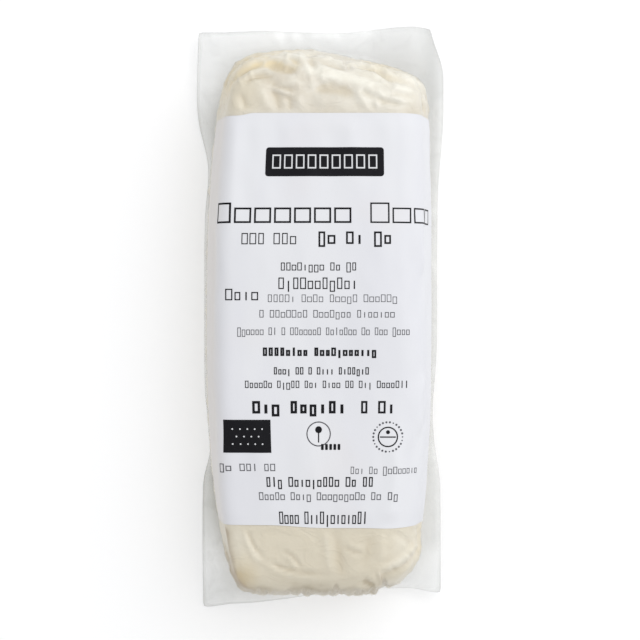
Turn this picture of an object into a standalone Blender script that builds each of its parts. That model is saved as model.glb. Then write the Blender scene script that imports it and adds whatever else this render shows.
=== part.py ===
"""Tofu block in a clear vacuum pack, lying on its back with the labelled face up.

The film hugs the block and runs out into a thin wavy rim near the table, and a paper label
is wrapped over the front face and both long walls. Two closed solids are made: the sealed
bag with the block in it, and the label. Metres, +Z up, +Y towards the head end, and the
origin is at the middle of the footprint, on the table.
"""

import math
from dataclasses import dataclass

import bmesh
import bpy
from mathutils import Matrix, Vector

MM = 0.001

# Driving dimensions, in millimetres.
HEIGHT = 51.0  # from the table to the crown of the front face
CORE_HALF_WIDTH = 24.0  # flat core of the front face, which the rings grow out from
CORE_HALF_LENGTH = 86.0
CORE_CORNER = 2.0  # radius that the core's corners start with
INNER_HALF_WIDTH = CORE_HALF_WIDTH - CORE_CORNER  # the rings are measured out from here
INNER_HALF_LENGTH = CORE_HALF_LENGTH - CORE_CORNER
RIM_HEIGHT = 4.0  # mean height of the rim's underside above the table
RIM_THICKNESS = 0.8
LABEL_LENGTH = 166.5
LABEL_THICKNESS = 0.35
LABEL_GAP = 0.35  # between the label and the film, so that the two meshes never touch

# How finely the surface is cut.
SIDE_CELLS = 26
END_CELLS = 12
CORNER_CELLS = 8
LABEL_CELLS = 18
CREST_RINGS = 3
RIDGE_RINGS = 4
WALL_RINGS = 3
BELLY_RINGS = 3
ROOT_RINGS = 3
RIM_RINGS = 3
FOOT_RINGS = 3

# Exponents of the corners in plan, where 2 is an ellipse and a large one is square.
HEAD_ROUNDNESS = (4.4, 3.5)  # left corner, right corner
FOOT_ROUNDNESS = (4.6, 2.6)
RIM_SQUARENESS = 14.0

PLEAT_DEPTH = 0.9  # how far the gathered film of the foot wall stands in and out
BOW_REACH = 83.0  # distance along the block at which the bow of its sides is given


@dataclass(frozen=True)
class Wall:
    """Section of one wall, in millimetres out from the inner core and up from the table."""

    ridge: float  # where the front face turns over
    ridge_height: float
    ridge_radius: float
    belly: float  # where the wall is widest
    belly_height: float
    root: float  # where the film leaves the wall for the rim
    foot: float  # edge of the flat base
    rim: float  # edge of the rim


LEFT = Wall(18.7, 50.0, 5.5, 25.8, 22.0, 25.3, 17.0, 29.4)
RIGHT = Wall(18.0, 49.6, 9.0, 24.4, 22.0, 24.0, 16.0, 29.4)
HEAD = Wall(19.5, 48.0, 10.0, 29.0, 24.0, 28.5, 18.0, 38.9)
FOOT = Wall(25.0, 48.5, 10.0, 30.6, 25.0, 29.8, 19.0, 33.5)

BELLY_RADIUS = 7.0

FILM = ("clear_film", (0.86, 0.81, 0.70), 0.25)
PAPER = ("label_paper", (0.80, 0.80, 0.84), 0.6)


def clamp(value, limit):
    """The value kept between -limit and limit."""
    return min(max(value, -limit), limit)


def smooth(low, high, value):
    """0 on the far side of low, 1 on the far side of high, and an even S between them."""
    t = min(max((value - low) / (high - low), 0.0), 1.0)
    return t * t * (3.0 - 2.0 * t)


def bell(value, middle, reach, peak):
    """A smooth hump of the given peak round its middle."""
    return peak * math.exp(-((value - middle) / reach) ** 2)


def straight_run(start, end, steps):
    """Points after start along a straight run, up to its end."""
    return [start.lerp(end, k / steps) for k in range(1, steps + 1)]


def curve(start, corner, end, steps):
    """Points after start along the quadratic curve that leans towards a corner."""
    shares = [k / steps for k in range(1, steps + 1)]
    return [start.lerp(corner, t).lerp(corner.lerp(end, t), t) for t in shares]


def rounded_path(corners, radii, arc_steps, run_steps):
    """Points along a bent line whose inner corners are rounded by quadratic curves.

    arc_steps and run_steps give the steps on each corner and on each run between corners,
    so that every wall's section comes out with the same number of points.
    """
    points = [Vector(corners[0])]
    for index in range(1, len(corners) - 1):
        before, corner, after = (Vector(corners[index + k]) for k in (-1, 0, 1))
        start = corner + (before - corner).normalized() * radii[index - 1]
        end = corner + (after - corner).normalized() * radii[index - 1]
        points += straight_run(points[-1], start, run_steps[index - 1])
        points += curve(start, corner, end, arc_steps[index - 1])
    return points + straight_run(points[-1], Vector(corners[-1]), run_steps[-1])


def wall_section(wall):
    """(out, height) points of a wall from the core down to the root of the rim."""
    fall = 0.35 * (HEIGHT - wall.ridge_height)
    crest_end = min(0.6 * wall.ridge, wall.ridge - 1.05 * wall.ridge_radius)
    span = crest_end - CORE_CORNER
    outs = [CORE_CORNER + span * k / CREST_RINGS for k in range(1, CREST_RINGS + 1)]
    crest = [Vector((out, HEIGHT - fall * (out / crest_end) ** 2)) for out in outs]
    ridge = (wall.ridge, wall.ridge_height)
    belly = (wall.belly, wall.belly_height)
    root = (wall.root, RIM_HEIGHT + 2.0)
    turn = rounded_path(
        [crest[-1], ridge, belly, root],
        [wall.ridge_radius, BELLY_RADIUS],
        [RIDGE_RINGS, BELLY_RINGS],
        [1, WALL_RINGS, 1],
    )
    return crest + turn[1:]


SECTIONS = {wall: wall_section(wall) for wall in (LEFT, RIGHT, HEAD, FOOT)}
LABEL_POINTS = CREST_RINGS + RIDGE_RINGS + WALL_RINGS + BELLY_RINGS  # down to the belly


def outwards(base, direction, side_out, end_out, exponent):
    """Plan point out from the core: straight along the sides, and round each corner.

    The corner is a superellipse quarter, so its middle station lies on its diagonal.
    """
    length = (abs(direction.x) ** exponent + abs(direction.y) ** exponent) ** (1.0 / exponent)
    return base.x + direction.x * side_out / length, base.y + direction.y * end_out / length


def walls(direction):
    """The long wall and the end wall that a direction of the plan points between."""
    return RIGHT if direction.x > 0.0 else LEFT, HEAD if direction.y > 0.0 else FOOT


def roundness(direction):
    """Exponent of the body's corner that a direction of the plan points to."""
    left, right = HEAD_ROUNDNESS if direction.y > 0.0 else FOOT_ROUNDNESS
    return right if direction.x > 0.0 else left


def body_plan(x, y):
    """The block's plan: sides that bow, and a head end like a low roof."""
    if y > 0.0:
        bow = 0.025 if x > 0.0 else 0.090
    else:
        bow = 0.075 if x > 0.0 else 0.115
    narrowed = x * (1.0 - bow * abs(y / BOW_REACH) ** 2.5)
    from_apex = narrowed + 9.0
    slope = 0.20 if from_apex > 0.0 else 0.13
    roof = slope * (math.hypot(from_apex, 4.0) - 4.0) * smooth(84.0, 108.0, y)
    slack = bell(y, 96.0, 12.0, 0.8) * smooth(15.0, 38.0, x)
    return narrowed + slack, y - roof


def rim_plan(x, y):
    """The rim's plan: pinched where the label's ends hold it, flared outside, with wavy ends."""
    if x < 0.0:
        pinch = bell(y, 66.0, 15.0, 0.045) + bell(y, -54.0, 11.0, 0.050)
    else:
        pinch = bell(y, 40.0, 20.0, 0.020) + bell(y, -38.0, 24.0, 0.055)
    waist = 0.025 * smooth(85.0, 50.0, y) * smooth(-72.0, -50.0, y) + 0.018 * smooth(-60.0, -75.0, y)
    shoulder = bell(y, 92.0, 26.0, 0.020)
    curl = 5.0 * smooth(103.0, 124.0, y) * smooth(38.0, 52.0, x)
    head_swing = 1.2 if x > 5.0 else 0.4
    head_wave = head_swing * math.cos(math.pi * min(abs(x - 5.0), 45.0) / 30.0) + 1.2 - head_swing
    foot_wave = 3.6 * math.cos(math.pi * (x + 51.0) / 85.0) + 1.2 * smooth(38.0, 50.0, abs(x))
    wave = head_wave * smooth(100.0, 120.0, y) + foot_wave * smooth(-95.0, -115.0, y)
    return x * (1.0 - pinch - waist + shoulder) - curl, y - wave


def rim_height(x, y):
    """Height of the rim's underside: slow waves, with curled corners."""
    wave = 1.1 * math.sin(y / 17.0 + 0.8) + 0.9 * math.sin(x / 13.0 + y / 40.0)
    head_right = 5.0 * smooth(20.0, 50.0, x) * smooth(90.0, 124.0, y)
    foot_left = -2.2 * smooth(-25.0, -50.0, x) * smooth(-95.0, -120.0, y)
    return max(RIM_HEIGHT + wave + head_right + foot_left, 0.8)


def swell(x, y):
    """Slow hollows and swellings of the soft block under the film."""
    slow = 0.35 * math.sin(x / 15.0 + 1.0) * math.sin(y / 24.0)
    return slow + 0.25 * math.sin(y / 13.0 + x / 21.0)


def shoulder_drop(x, y):
    """How far the front face sinks towards its two slack right-hand corners."""
    foot = 5.5 * smooth(-30.0, -92.0, y) * smooth(24.0, 44.0, x)
    return foot + 4.0 * smooth(92.0, 112.0, y) * smooth(5.0, 40.0, x)


def gathers(direction, x, z):
    """Pleats that the film is gathered into down the foot wall."""
    if direction.y >= -0.5:
        return 0.0
    depth = smooth(8.0, 16.0, z) * smooth(46.0, 38.0, z) * smooth(-0.5, -0.8, direction.y)
    return PLEAT_DEPTH * depth * math.sin(x * 0.8 + 1.5 * math.sin(x / 9.0))


def body_point(base, direction, ring):
    """Point of the block's surface on one ring of its wall sections."""
    side, end = (SECTIONS[wall][ring] for wall in walls(direction))
    share = direction.x ** 2
    z = share * side.y + (1.0 - share) * end.y
    lift = z / HEIGHT
    x, y = body_plan(*outwards(base, direction, side.x, end.x, roundness(direction)))
    pleat = gathers(direction, x, z)
    z += (swell(x, y) - shoulder_drop(x, y)) * lift ** 3
    return Vector((x + direction.x * pleat, y + direction.y * pleat, z))


def core_point(x, y):
    """Point of the front face inside the core."""
    return Vector((*body_plan(x, y), HEIGHT + swell(x, y) - shoulder_drop(x, y)))


def rim_edge(base, direction):
    """Point of the rim's cut edge."""
    side, end = walls(direction)
    return Vector(rim_plan(*outwards(base, direction, side.rim, end.rim, RIM_SQUARENESS)))


def rim_rings(root, edge, top):
    """Rings of the rim from the root of the wall to the edge, for one station."""
    points = []
    steps = ROOT_RINGS + RIM_RINGS if top else RIM_RINGS
    for k in range(1, steps + 1):
        t = (k / steps) ** 1.6
        x, y = root.xy.lerp(edge, t)
        z = rim_height(x, y)
        if top:
            z += RIM_THICKNESS
            z += (root.z - z) * (1.0 - min(t * 3.0, 1.0)) ** 2
        points.append(Vector((x, y, z)))
    return points


def foot_rings(base, direction, root):
    """Rings from under the rim down to the edge of the flat base, for one station."""
    side, end = walls(direction)
    plan = outwards(base, direction, side.foot, end.foot, roundness(direction))
    edge = Vector(body_plan(*plan)).to_3d()
    corner = Vector((*root.xy.lerp(edge.xy, 0.25), 0.4))
    return curve(root, corner, edge, FOOT_RINGS)


def ordered_boundary(mesh):
    """Vertices of an open mesh's one boundary, in order round it."""
    edge = next(e for e in mesh.edges if e.is_boundary)
    loop = [edge.verts[0], edge.verts[1]]
    while True:
        onward = next(e for e in loop[-1].link_edges if e.is_boundary and loop[-2] not in e.verts)
        vertex = onward.other_vert(loop[-1])
        if vertex is loop[0]:
            return loop
        loop.append(vertex)


def grow_ring(mesh, loop, places):
    """Extrude the boundary loop and move the new ring to its places."""
    edges = [mesh.edges.get((a, b)) for a, b in zip(loop, loop[1:] + loop[:1])]
    grown = bmesh.ops.extrude_edge_only(mesh, edges=edges)["geom"]
    fresh = {item for item in grown if isinstance(item, bmesh.types.BMVert)}
    ring = [next(e.other_vert(v) for e in v.link_edges if e.other_vert(v) in fresh) for v in loop]
    for vertex, place in zip(ring, places):
        vertex.co = place
    return ring


def front_core(mesh):
    """Lay the front face's core as a grid with rounded corners, and return its stations.

    A station is a point of the core's inner rectangle and the direction that its rings
    grow in: straight out along the sides, and fanned round each corner.
    """
    bmesh.ops.create_grid(
        mesh, x_segments=END_CELLS, y_segments=SIDE_CELLS, size=1.0,
        matrix=Matrix.Diagonal((CORE_HALF_WIDTH, CORE_HALF_LENGTH, 1.0, 1.0)),
    )
    corners = [v for v in mesh.verts if len(v.link_edges) == 2]
    bmesh.ops.bevel(
        mesh, geom=corners, offset=CORE_CORNER, segments=CORNER_CELLS, profile=0.5,
        affect="VERTICES", material=-1,
    )
    loop = ordered_boundary(mesh)
    stations = []
    for vertex in loop:
        base = Vector((clamp(vertex.co.x, INNER_HALF_WIDTH), clamp(vertex.co.y, INNER_HALF_LENGTH)))
        stations.append((base, (vertex.co.xy - base).normalized()))
    for vertex in mesh.verts:
        vertex.co = core_point(vertex.co.x, vertex.co.y)
    return loop, stations


def sealed_bag_mesh():
    """The block in its film, out to the edge of the rim, as one closed surface."""
    mesh = bmesh.new()
    loop, stations = front_core(mesh)
    for ring in range(len(SECTIONS[LEFT])):
        loop = grow_ring(mesh, loop, [body_point(base, way, ring) for base, way in stations])
    roots = [vertex.co.copy() for vertex in loop]
    edges = [rim_edge(base, way) for base, way in stations]
    upper = [rim_rings(root, edge, True) for root, edge in zip(roots, edges)]
    lower = [rim_rings(root, edge, False) for root, edge in zip(roots, edges)]
    for places in zip(*upper):
        loop = grow_ring(mesh, loop, places)
    for places in reversed(list(zip(*lower))):
        loop = grow_ring(mesh, loop, places)
    under = [root.xy.to_3d() + Vector((0.0, 0.0, rim_height(root.x, root.y))) for root in roots]
    for places in zip(*(foot_rings(base, way, root) for (base, way), root in zip(stations, under))):
        loop = grow_ring(mesh, loop, places)
    bmesh.ops.contextual_create(mesh, geom=loop)
    bmesh.ops.triangulate(mesh, faces=mesh.faces)
    bmesh.ops.recalc_face_normals(mesh, faces=mesh.faces)
    return mesh


def label_row(y):
    """Places across the label, from its left edge over the front face to its right edge."""
    flanks = []
    for sign in (-1.0, 1.0):
        base, direction = Vector((sign * INNER_HALF_WIDTH, y)), Vector((sign, 0.0))
        flanks.append([body_point(base, direction, ring) for ring in range(LABEL_POINTS)])
    steps = [CORE_HALF_WIDTH * (2.0 * k / END_CELLS - 1.0) for k in range(END_CELLS + 1)]
    core = [core_point(x, y) for x in steps]
    return flanks[0][::-1] + core + flanks[1]


def label_mesh():
    """The paper label: a sheet that follows the front face and both long walls."""
    mesh = bmesh.new()
    rows = [label_row((k / LABEL_CELLS - 0.5) * LABEL_LENGTH) for k in range(LABEL_CELLS + 1)]
    bmesh.ops.create_grid(mesh, x_segments=len(rows[0]) - 1, y_segments=LABEL_CELLS, size=1.0)
    mesh.verts.ensure_lookup_table()
    places = [place for row in rows for place in row]
    for vertex, place in zip(mesh.verts, places):
        vertex.co = place
    mesh.normal_update()
    for vertex in mesh.verts:
        vertex.co += vertex.normal * LABEL_GAP
    return mesh


def finish(name, mesh, material, collection, shift):
    """Turn a mesh in millimetres into a named object in metres with its own material."""
    for vertex in mesh.verts:
        vertex.co = (vertex.co + shift) * MM
    data = bpy.data.meshes.new(name)
    mesh.to_mesh(data)
    mesh.free()
    data.shade_smooth()
    data.materials.append(material)
    thing = bpy.data.objects.new(name, data)
    collection.objects.link(thing)
    return thing


def principled(name, colour, roughness):
    """A plain material with a colour and a roughness."""
    material = bpy.data.materials.new(name)
    material.use_nodes = True
    shader = material.node_tree.nodes["Principled BSDF"]
    shader.inputs["Base Color"].default_value = (*colour, 1.0)
    shader.inputs["Roughness"].default_value = roughness
    shader.inputs["Metallic"].default_value = 0.0
    return material


def main():
    """Build the sealed bag and its label, centred over the origin."""
    for thing in list(bpy.data.objects):
        bpy.data.objects.remove(thing, do_unlink=True)
    collection = bpy.data.collections.new("tofu_block")
    bpy.context.scene.collection.children.link(collection)

    bag = sealed_bag_mesh()
    low = Vector([min(v.co[axis] for v in bag.verts) for axis in range(3)])
    high = Vector([max(v.co[axis] for v in bag.verts) for axis in range(3)])
    shift = Vector((-(low.x + high.x) / 2.0, -(low.y + high.y) / 2.0, 0.0))
    finish("sealed_bag", bag, principled(*FILM), collection, shift)

    label = finish("label", label_mesh(), principled(*PAPER), collection, shift)
    wall = label.modifiers.new("paper", "SOLIDIFY")
    wall.thickness = LABEL_THICKNESS * MM
    wall.offset = 1.0
    wall.use_even_offset = True


main()
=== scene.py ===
"""Tofu block in a clear vacuum pack, with a paper label wrapped over its front face.

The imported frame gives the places, and this script gives the looks. The sealed bag's solid is
replaced by the soft block and the film that hugs it, and the label's solid by a sheet of
paper with a generic print. The classes work in millimetres, in the bag's own coordinates,
and a mesh is moved onto the frame and turned to metres as it becomes a piece.
"""

import logging
import math
import random
from dataclasses import dataclass, field
from enum import Enum
from typing import Callable, Iterable

import bmesh
import bpy
import numpy as np
from mathutils import Matrix, Vector, noise


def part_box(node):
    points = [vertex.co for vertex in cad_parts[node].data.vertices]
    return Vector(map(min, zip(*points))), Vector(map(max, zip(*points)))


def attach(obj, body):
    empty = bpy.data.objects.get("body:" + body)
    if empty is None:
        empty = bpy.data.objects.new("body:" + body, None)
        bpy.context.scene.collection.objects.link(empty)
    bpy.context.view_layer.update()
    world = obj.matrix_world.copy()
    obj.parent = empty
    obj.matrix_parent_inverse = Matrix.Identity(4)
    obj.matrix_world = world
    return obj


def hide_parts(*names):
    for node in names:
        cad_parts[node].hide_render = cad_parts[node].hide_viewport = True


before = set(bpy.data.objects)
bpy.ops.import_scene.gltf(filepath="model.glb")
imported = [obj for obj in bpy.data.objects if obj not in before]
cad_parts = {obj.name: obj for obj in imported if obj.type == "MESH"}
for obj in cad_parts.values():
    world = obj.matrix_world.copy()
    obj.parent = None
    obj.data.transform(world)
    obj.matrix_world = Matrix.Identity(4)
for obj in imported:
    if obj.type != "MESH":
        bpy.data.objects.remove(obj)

LOG = logging.getLogger("tofu_block")
MM = 0.001
Array = np.ndarray
Mesh = bmesh.types.BMesh
Colour = tuple[float, float, float]
Spot = tuple[float, float]


# ---------- curves


def smooth(low: float, high: float, value: Array) -> Array:
    """Even S-curve between two values.

    Args:
        low: Where the curve is 0.
        high: Where it is 1; it may lie below low.
        value: The places to read it at.

    Returns:
        Its heights, from 0 to 1.
    """
    t = np.clip((np.asarray(value, float) - low) / (high - low), 0, 1)
    return t * t * (3 - 2 * t)


def bell(value: Array, middle: float, reach: float) -> Array:
    """Smooth hump of height 1.

    Args:
        value: The places to read it at.
        middle: Where the hump stands.
        reach: How far it spreads.

    Returns:
        Its heights.
    """
    return np.exp(-(((np.asarray(value, float) - middle) / reach) ** 2))


def zone(first: Array, second: Array, first_span: Spot, second_span: Spot) -> Array:
    """Area bounded by two S-curves.

    Args:
        first, second: What they are read at, such as places across and along the block.
        first_span, second_span: Where each curve is 0, and where it is 1.

    Returns:
        Numbers from 0 to 1.
    """
    return smooth(*first_span, first) * smooth(*second_span, second)


def noise_field(points: Array, scale: float, seed: float = 0, octaves: int = 1) -> Array:
    """Smooth noise read at many places.

    Args:
        points: Places as rows of two or three numbers.
        scale: Size of the features, in the points' unit.
        seed: Picks another pattern.
        octaves: How many layers, each half as large and half as strong as the last.

    Returns:
        One value a place, roughly from -1 to 1.
    """
    rows = np.zeros((len(points), 3))
    rows[:, : points.shape[1]] = points / scale
    rows += seed * 7.31
    total = np.zeros(len(points))
    for octave in range(octaves):
        values = (noise.noise(Vector(row)) for row in rows * 2**octave)
        total += np.fromiter(values, float, len(rows)) * 0.5**octave
    return total


# ---------- the block's form


@dataclass(frozen=True)
class Wall:
    """Section of one wall, in millimetres out from the inner core and up from the table."""

    ridge: float
    ridge_height: float
    ridge_radius: float
    belly: float
    belly_height: float
    root: float
    foot: float
    rim: float


@dataclass(frozen=True)
class SectionCut:
    """How many rings each stretch of a wall's section is cut into."""

    crest: int = 13
    shoulder: int = 4
    ridge: int = 14
    wall: int = 20
    belly: int = 8
    root: int = 12

    @property
    def rings(self) -> int:
        """Rings from the core's edge to the root of the rim."""
        return self.crest + self.shoulder + self.ridge + self.wall + self.belly + self.root


@dataclass(frozen=True)
class Section:
    """A wall's section sampled ring by ring: distance out, height, and length along it."""

    out: Array
    height: Array
    along: Array


@dataclass(frozen=True)
class Stations:
    """Stations round the inner core: where each stands, which way it faces, how far round it is."""

    base: Array
    way: Array
    walk: Array

    @property
    def count(self) -> int:
        """How many stations there are."""
        return len(self.base)


@dataclass(frozen=True)
class BlockForm:
    """The soft block's outer surface, which the film, the block and the label all follow."""

    height: float = 51
    core_half_width: float = 22.7
    core_half_length: float = 84.7
    core_corner: float = 0.7
    rim_height: float = 4
    lowest_rim: float = 0.8
    head_roundness: Spot = (4.4, 3.5)
    foot_roundness: Spot = (4.6, 2.6)
    rim_squareness: float = 60
    belly_radius: float = 7
    bow_reach: float = 83
    root_rise: float = 2
    left: Wall = Wall(18.7, 50, 5.5, 25.8, 22, 25.3, 17, 29.4)
    right: Wall = Wall(18, 49.6, 9, 24.4, 22, 24, 16, 29.4)
    head: Wall = Wall(19.5, 48, 10, 29, 24, 28.5, 18, 38.9)
    foot: Wall = Wall(25, 48.5, 10, 30.6, 25, 29.8, 19, 33.5)
    cut: SectionCut = SectionCut()

    @property
    def inner_half_width(self) -> float:
        """Half the width of the inner core that distances out are measured from."""
        return self.core_half_width - self.core_corner

    @property
    def inner_half_length(self) -> float:
        """Half the length of the inner core."""
        return self.core_half_length - self.core_corner

    def section(self, wall: Wall) -> Section:
        """Sample one wall's section, ring by ring from the core's edge."""
        crest_end = min(0.6 * wall.ridge, wall.ridge - 1.05 * wall.ridge_radius)
        fall = 0.35 * (self.height - wall.ridge_height)
        out = np.linspace(self.core_corner, crest_end, self.cut.crest + 1)
        points = [(o, self.height - fall * (o / crest_end) ** 2) for o in out]
        ridge = Vector((wall.ridge, wall.ridge_height))
        belly = Vector((wall.belly, wall.belly_height))
        root = Vector((wall.root, self.rim_height + self.root_rise))
        turns = (
            (ridge, belly, wall.ridge_radius, self.cut.shoulder, self.cut.ridge),
            (belly, root, self.belly_radius, self.cut.wall, self.cut.belly),
        )
        for corner, after, radius, run, arc in turns:
            last = Vector(points[-1])
            start = corner + (last - corner).normalized() * radius
            end = corner + (after - corner).normalized() * radius
            points += [tuple(last.lerp(start, k / run)) for k in range(1, run + 1)]
            for share in (k / arc for k in range(1, arc + 1)):
                bent = start.lerp(corner, share).lerp(corner.lerp(end, share), share)
                points.append(tuple(bent))
        last = Vector(points[-1])
        points += [tuple(last.lerp(root, k / self.cut.root)) for k in range(1, self.cut.root + 1)]
        table = np.array(points)
        steps = np.hypot(*np.diff(table, axis=0).T)
        along = self.core_corner + np.concatenate(([0], np.cumsum(steps)))
        return Section(table[:, 0], table[:, 1], along)

    def plan(self, x: Array, y: Array) -> tuple[Array, Array]:
        """Bow the sides, shape the head end like a low roof, and give the corners their slack.

        Args:
            x, y: Places across and along the block.

        Returns:
            The shaped places.
        """
        head_bow = np.where(x > 0, 0.025, 0.09)
        foot_bow = np.where(x > 0, 0.075, 0.115)
        bow = np.where(y > 0, head_bow, foot_bow)
        narrowed = x * (1 - bow * np.abs(y / self.bow_reach) ** 2.5)
        from_apex = narrowed + 9
        slope = np.where(from_apex > 0, 0.2, 0.13)
        roof = slope * (np.hypot(from_apex, 4) - 4) * smooth(84, 108, y)
        slack = 0.8 * bell(y, 96, 12) * smooth(15, 38, x)
        slack += 2 * bell(y, 107, 5) * smooth(29, 38, x)
        slack += 2 * bell(y, -99, 7) * smooth(30, 38, x)
        pull = 1.8 * bell(x, -40, 5) * smooth(-30, -80, y)
        tuck = 2.6 * smooth(25.5, 31, x) * smooth(38, 29, x) * smooth(-92, -106, y)
        return narrowed + slack - pull, y - roof + tuck

    def rim_plan(self, x: Array, y: Array) -> tuple[Array, Array]:
        """Pinch the rim where the label's ends hold it, and wave its ends.

        Args:
            x, y: Places across and along the rim.

        Returns:
            The shaped places.
        """
        hem = smooth(-60, -75, y)
        left = 0.045 * bell(y, 66, 15) + 0.05 * bell(y, -57.5, 10)
        left += 0.022 * bell(y, -42, 9) + 0.03 * hem
        left += 0.02 * smooth(92, 62, y) * smooth(-74, -50, y)
        right = 0.008 * bell(y, 15, 30) + 0.042 * bell(y, -40, 20) + 0.004 * hem
        waist = 0.025 * smooth(85, 50, y) * smooth(-72, -50, y)
        shoulder = 0.02 * bell(y, 92, 26)
        curl = 5 * zone(x, y, (38, 52), (103, 124))
        swing = np.where(x > 5, 1.2, 0.4)
        head_wave = swing * np.cos(math.pi * np.minimum(np.abs(x - 5), 45) / 30) + 1.2 - swing
        foot_wave = 3.6 * np.cos(math.pi * (x + 51) / 85) + 1.2 * smooth(38, 50, np.abs(x))
        wave = head_wave * smooth(100, 120, y) + foot_wave * smooth(-95, -115, y)
        pinch = np.where(x < 0, left, right)
        return x * (1 - pinch - waist + shoulder) - curl, y - wave

    def rim_level(self, x: Array, y: Array) -> Array:
        """Height of the rim's underside, with its slow waves and curled corners."""
        wave = 1.1 * np.sin(y / 17 + 0.8) + 0.9 * np.sin(x / 13 + y / 40)
        head_right = 5 * zone(x, y, (20, 50), (90, 124))
        foot_left = 2.2 * zone(x, y, (-25, -50), (-95, -120))
        return np.maximum(self.rim_height + wave + head_right - foot_left, self.lowest_rim)

    def softness(self, x: Array, y: Array) -> Array:
        """Rise and fall of the front face, with its two slack right-hand corners."""
        swell = 0.35 * np.sin(x / 15 + 1) * np.sin(y / 24) + 0.25 * np.sin(y / 13 + x / 21)
        foot = 5.5 * zone(x, y, (24, 44), (-30, -92))
        head = 4 * zone(x, y, (5, 40), (92, 112))
        return swell - foot - head

    def by_wall(self, way: Array, read: Callable[[Wall], float]) -> tuple[Array, Array]:
        """Read a size for the long wall and for the end wall that each station faces."""
        side = np.where(way[:, 0] > 0, read(self.right), read(self.left))
        end = np.where(way[:, 1] > 0, read(self.head), read(self.foot))
        return side, end

    def outwards(self, base: Array, way: Array, read: Callable[[Wall], float],
                 power: "Array | None" = None) -> tuple[Array, Array]:
        """Plan places out from the inner core.

        Args:
            base, way: Places and unit directions of the stations.
            read: Gives the distance out for a wall.
            power: How square each corner is; the block's own roundness if left out.

        Returns:
            Places across and along.
        """
        if power is None:
            at_head = way[:, 1] > 0
            left, right = (np.where(at_head, *pair) for pair in zip(self.head_roundness, self.foot_roundness))
            power = np.where(way[:, 0] > 0, right, left)
        side, end = self.by_wall(way, read)
        length = (np.abs(way[:, 0]) ** power + np.abs(way[:, 1]) ** power) ** (1 / power)
        return base[:, 0] + way[:, 0] * side / length, base[:, 1] + way[:, 1] * end / length

    def ring(self, stations: Stations, index: int) -> tuple[Array, Array]:
        """One ring of the block's surface.

        Args:
            stations: The stations it runs through.
            index: Which ring, from 0 at the core's edge.

        Returns:
            The ring's places, and their flat coordinates on the unrolled film.
        """
        base, way = stations.base, stations.way
        cuts = {wall: self.section(wall) for wall in (self.left, self.right, self.head, self.foot)}
        share = way[:, 0] ** 2
        side_up, end_up = self.by_wall(way, lambda wall: cuts[wall].height[index])
        side_along, end_along = self.by_wall(way, lambda wall: cuts[wall].along[index])
        up = share * side_up + (1 - share) * end_up
        along = share * side_along + (1 - share) * end_along
        x, y = self.plan(*self.outwards(base, way, lambda wall: cuts[wall].out[index]))
        up = up + self.softness(x, y) * (up / self.height) ** 3
        return np.column_stack((x, y, up)), base + way * along[:, None]

    def front(self, u: Array, v: Array) -> Array:
        """Places over the front face and the long walls, from flat coordinates.

        Args:
            u, v: Flat places across and along, within the straight length of the walls.

        Returns:
            The places on the surface.
        """
        along = np.maximum(np.abs(u) - self.inner_half_width, 0)
        out = np.zeros(len(u))
        up = np.zeros(len(u))
        for wall, mask in ((self.left, u <= 0), (self.right, u > 0)):
            section = self.section(wall)
            out[mask] = np.interp(along[mask], section.along, section.out)
            up[mask] = np.interp(along[mask], section.along, section.height)
        flat = np.abs(u) <= self.core_half_width
        x = np.where(flat, u, np.sign(u) * (self.inner_half_width + out))
        up = np.where(flat, self.height, up)
        x, y = self.plan(x, v)
        return np.column_stack((x, y, up + self.softness(x, y) * (up / self.height) ** 3))


FORM = BlockForm()


# ---------- folds


class FoldKind(Enum):
    """Shapes that a fold's cross-section can have."""

    RIDGE = "ridge"
    VALLEY = "valley"
    STEP = "step"


@dataclass(frozen=True)
class Fold:
    """One fold along a bent line."""

    start: Spot
    bend: Spot
    end: Spot
    width: float
    depth: float
    kind: FoldKind = FoldKind.RIDGE

    def relief(self, flat: Array) -> Array:
        """How far the fold lifts the surface.

        Args:
            flat: Places in the fold's own plane.

        Returns:
            Heights along the surface's normal, in millimetres.
        """
        reach = 4 * self.width
        low = np.min((self.start, self.bend, self.end), axis=0) - reach
        high = np.max((self.start, self.bend, self.end), axis=0) + reach
        near = np.flatnonzero(np.all((flat > low) & (flat < high), axis=1))
        height = np.zeros(len(flat))
        if not len(near):
            return height
        share = np.linspace(0, 1, 15)[:, None]
        start, bend, end = (np.array(p) for p in (self.start, self.bend, self.end))
        line = (1 - share) ** 2 * start + 2 * share * (1 - share) * bend + share**2 * end
        best = np.full(len(near), 1e9)
        signed = np.zeros(len(near))
        place = np.zeros(len(near))
        for index, (a, b) in enumerate(zip(line[:-1], line[1:])):
            run = b - a
            rel = flat[near] - a
            t = np.clip(rel @ run / (run @ run), 0, 1)
            distance = np.hypot(*(rel - t[:, None] * run).T)
            side = np.sign(run[0] * rel[:, 1] - run[1] * rel[:, 0])
            closer = distance < best
            best[closer] = distance[closer]
            signed[closer] = (side * distance)[closer]
            place[closer] = ((index + t) / (len(line) - 1))[closer]
        fade = smooth(0, 0.3, place) * smooth(1, 0.7, place)
        height[near] = self.depth * fade * self.profile(signed / self.width)
        return height

    def profile(self, s: Array) -> Array:
        """Cross-section of the fold at distances given in fold widths."""
        if self.kind is FoldKind.RIDGE:
            return np.exp(-np.abs(s) ** 1.5) - 0.3 * np.exp(-((np.abs(s) - 2) ** 2))
        if self.kind is FoldKind.VALLEY:
            return -np.exp(-np.abs(s) ** 1.5) + 0.3 * np.exp(-((np.abs(s) - 1.9) ** 2))
        return np.tanh(s * 1.3) * np.exp(-((s / 2.2) ** 2))


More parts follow.
